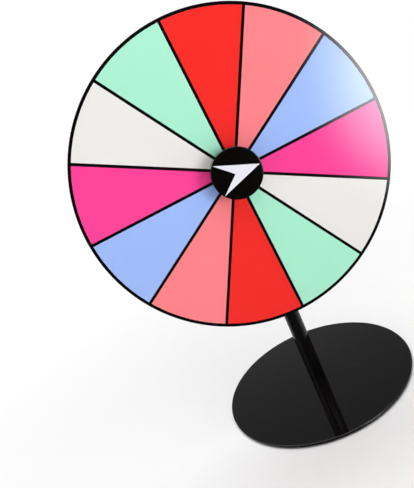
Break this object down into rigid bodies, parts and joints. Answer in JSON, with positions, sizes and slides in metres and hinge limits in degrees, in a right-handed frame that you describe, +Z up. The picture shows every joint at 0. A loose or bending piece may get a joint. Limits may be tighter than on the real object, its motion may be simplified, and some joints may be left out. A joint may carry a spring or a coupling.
{
  "type": "game spinner",
  "caption": "Table-top game spinner: a round segmented wheel turning on ball bearings on an axle through a round post on a round base, with a fixed arrow at the hub.",
  "frame": {"origin": "centre of the base pad's underside, on the surface that the spinner stands on", "axes": "+Z up along the post; the wheel turns about the Y axis direction and faces -Y; +X is to the right of somebody facing the wheel"},
  "size_m": [0.25, 0.17, 0.3335],
  "materials": {
    "pad_foam": "matt closed-cell anti-slip foam",
    "black_enamel": "smooth gloss black enamel on steel",
    "black_moulding": "gloss black moulded plastic",
    "black_nylon": "satin black moulded nylon",
    "zinc_steel": "bright zinc-plated steel",
    "bearing_steel": "ground and polished bearing steel",
    "cage_brass": "pressed brass",
    "turned_aluminium": "turned aluminium",
    "milky_acrylic": "polished milky translucent acrylic",
    "black_film": "gloss black printed film",
    "blue_film": "gloss periwinkle blue printed film",
    "salmon_film": "gloss salmon pink printed film",
    "red_film": "gloss red printed film",
    "mint_film": "gloss mint green printed film",
    "white_film": "gloss off-white printed film",
    "pink_film": "gloss hot pink printed film",
    "black_cap_plastic": "gloss black moulded plastic",
    "white_arrow_film": "gloss white cut film"
  },
  "bodies": {
    "stand": {"base_pad": "pad_foam", "base_plate": "black_enamel", "post_screw": "zinc_steel", "post_plug": "zinc_steel", "post_tube": "black_enamel", "post_cap": "black_moulding", "axle_bolt": "zinc_steel", "front_saddle_washer": "black_nylon", "rear_saddle_washer": "black_nylon", "jam_nut": "zinc_steel", "rear_spacer_sleeve": "turned_aluminium", "middle_spacer_sleeve": "turned_aluminium", "axle_washer": "zinc_steel", "lock_nut": "zinc_steel", "front_bearing_inner_ring": "bearing_steel", "rear_bearing_inner_ring": "bearing_steel", "pointer_cap": "black_cap_plastic", "pointer_arrow": "white_arrow_film"},
    "wheel": {"wheel_disc": "milky_acrylic", "black_line_film": "black_film", "blue_sector_film": "blue_film", "salmon_sector_film": "salmon_film", "red_sector_film": "red_film", "mint_sector_film": "mint_film", "white_sector_film": "white_film", "pink_sector_film": "pink_film", "bearing_housing": "black_nylon", "clamp_ring": "turned_aluminium", "clamp_screws": "zinc_steel", "front_bearing_outer_ring": "bearing_steel", "rear_bearing_outer_ring": "bearing_steel", "front_bearing_shields": "bearing_steel", "rear_bearing_shields": "bearing_steel"},
    "front_cage": {"front_ball_cage": "cage_brass", "front_bearing_balls": "bearing_steel"},
    "rear_cage": {"rear_ball_cage": "cage_brass", "rear_bearing_balls": "bearing_steel"}
  },
  "joints": [
    {"name": "wheel_spin", "type": "hinge", "parent": "stand", "child": "wheel", "pos_m": [0, -0.0333, 0.2085], "axis": [0, 1, 0], "continuous": true},
    {"name": "front_cage_roll", "type": "hinge", "parent": "stand", "child": "front_cage", "pos_m": [0, -0.0313, 0.2085], "axis": [0, 1, 0], "continuous": true},
    {"name": "rear_cage_roll", "type": "hinge", "parent": "stand", "child": "rear_cage", "pos_m": [0, -0.0203, 0.2085], "axis": [0, 1, 0], "continuous": true}
  ],
  "couplings": [
    {"joint": "front_cage_roll", "follows": "wheel_spin", "ratio": 0.63227},
    {"joint": "rear_cage_roll", "follows": "wheel_spin", "ratio": 0.63227}
  ]
}
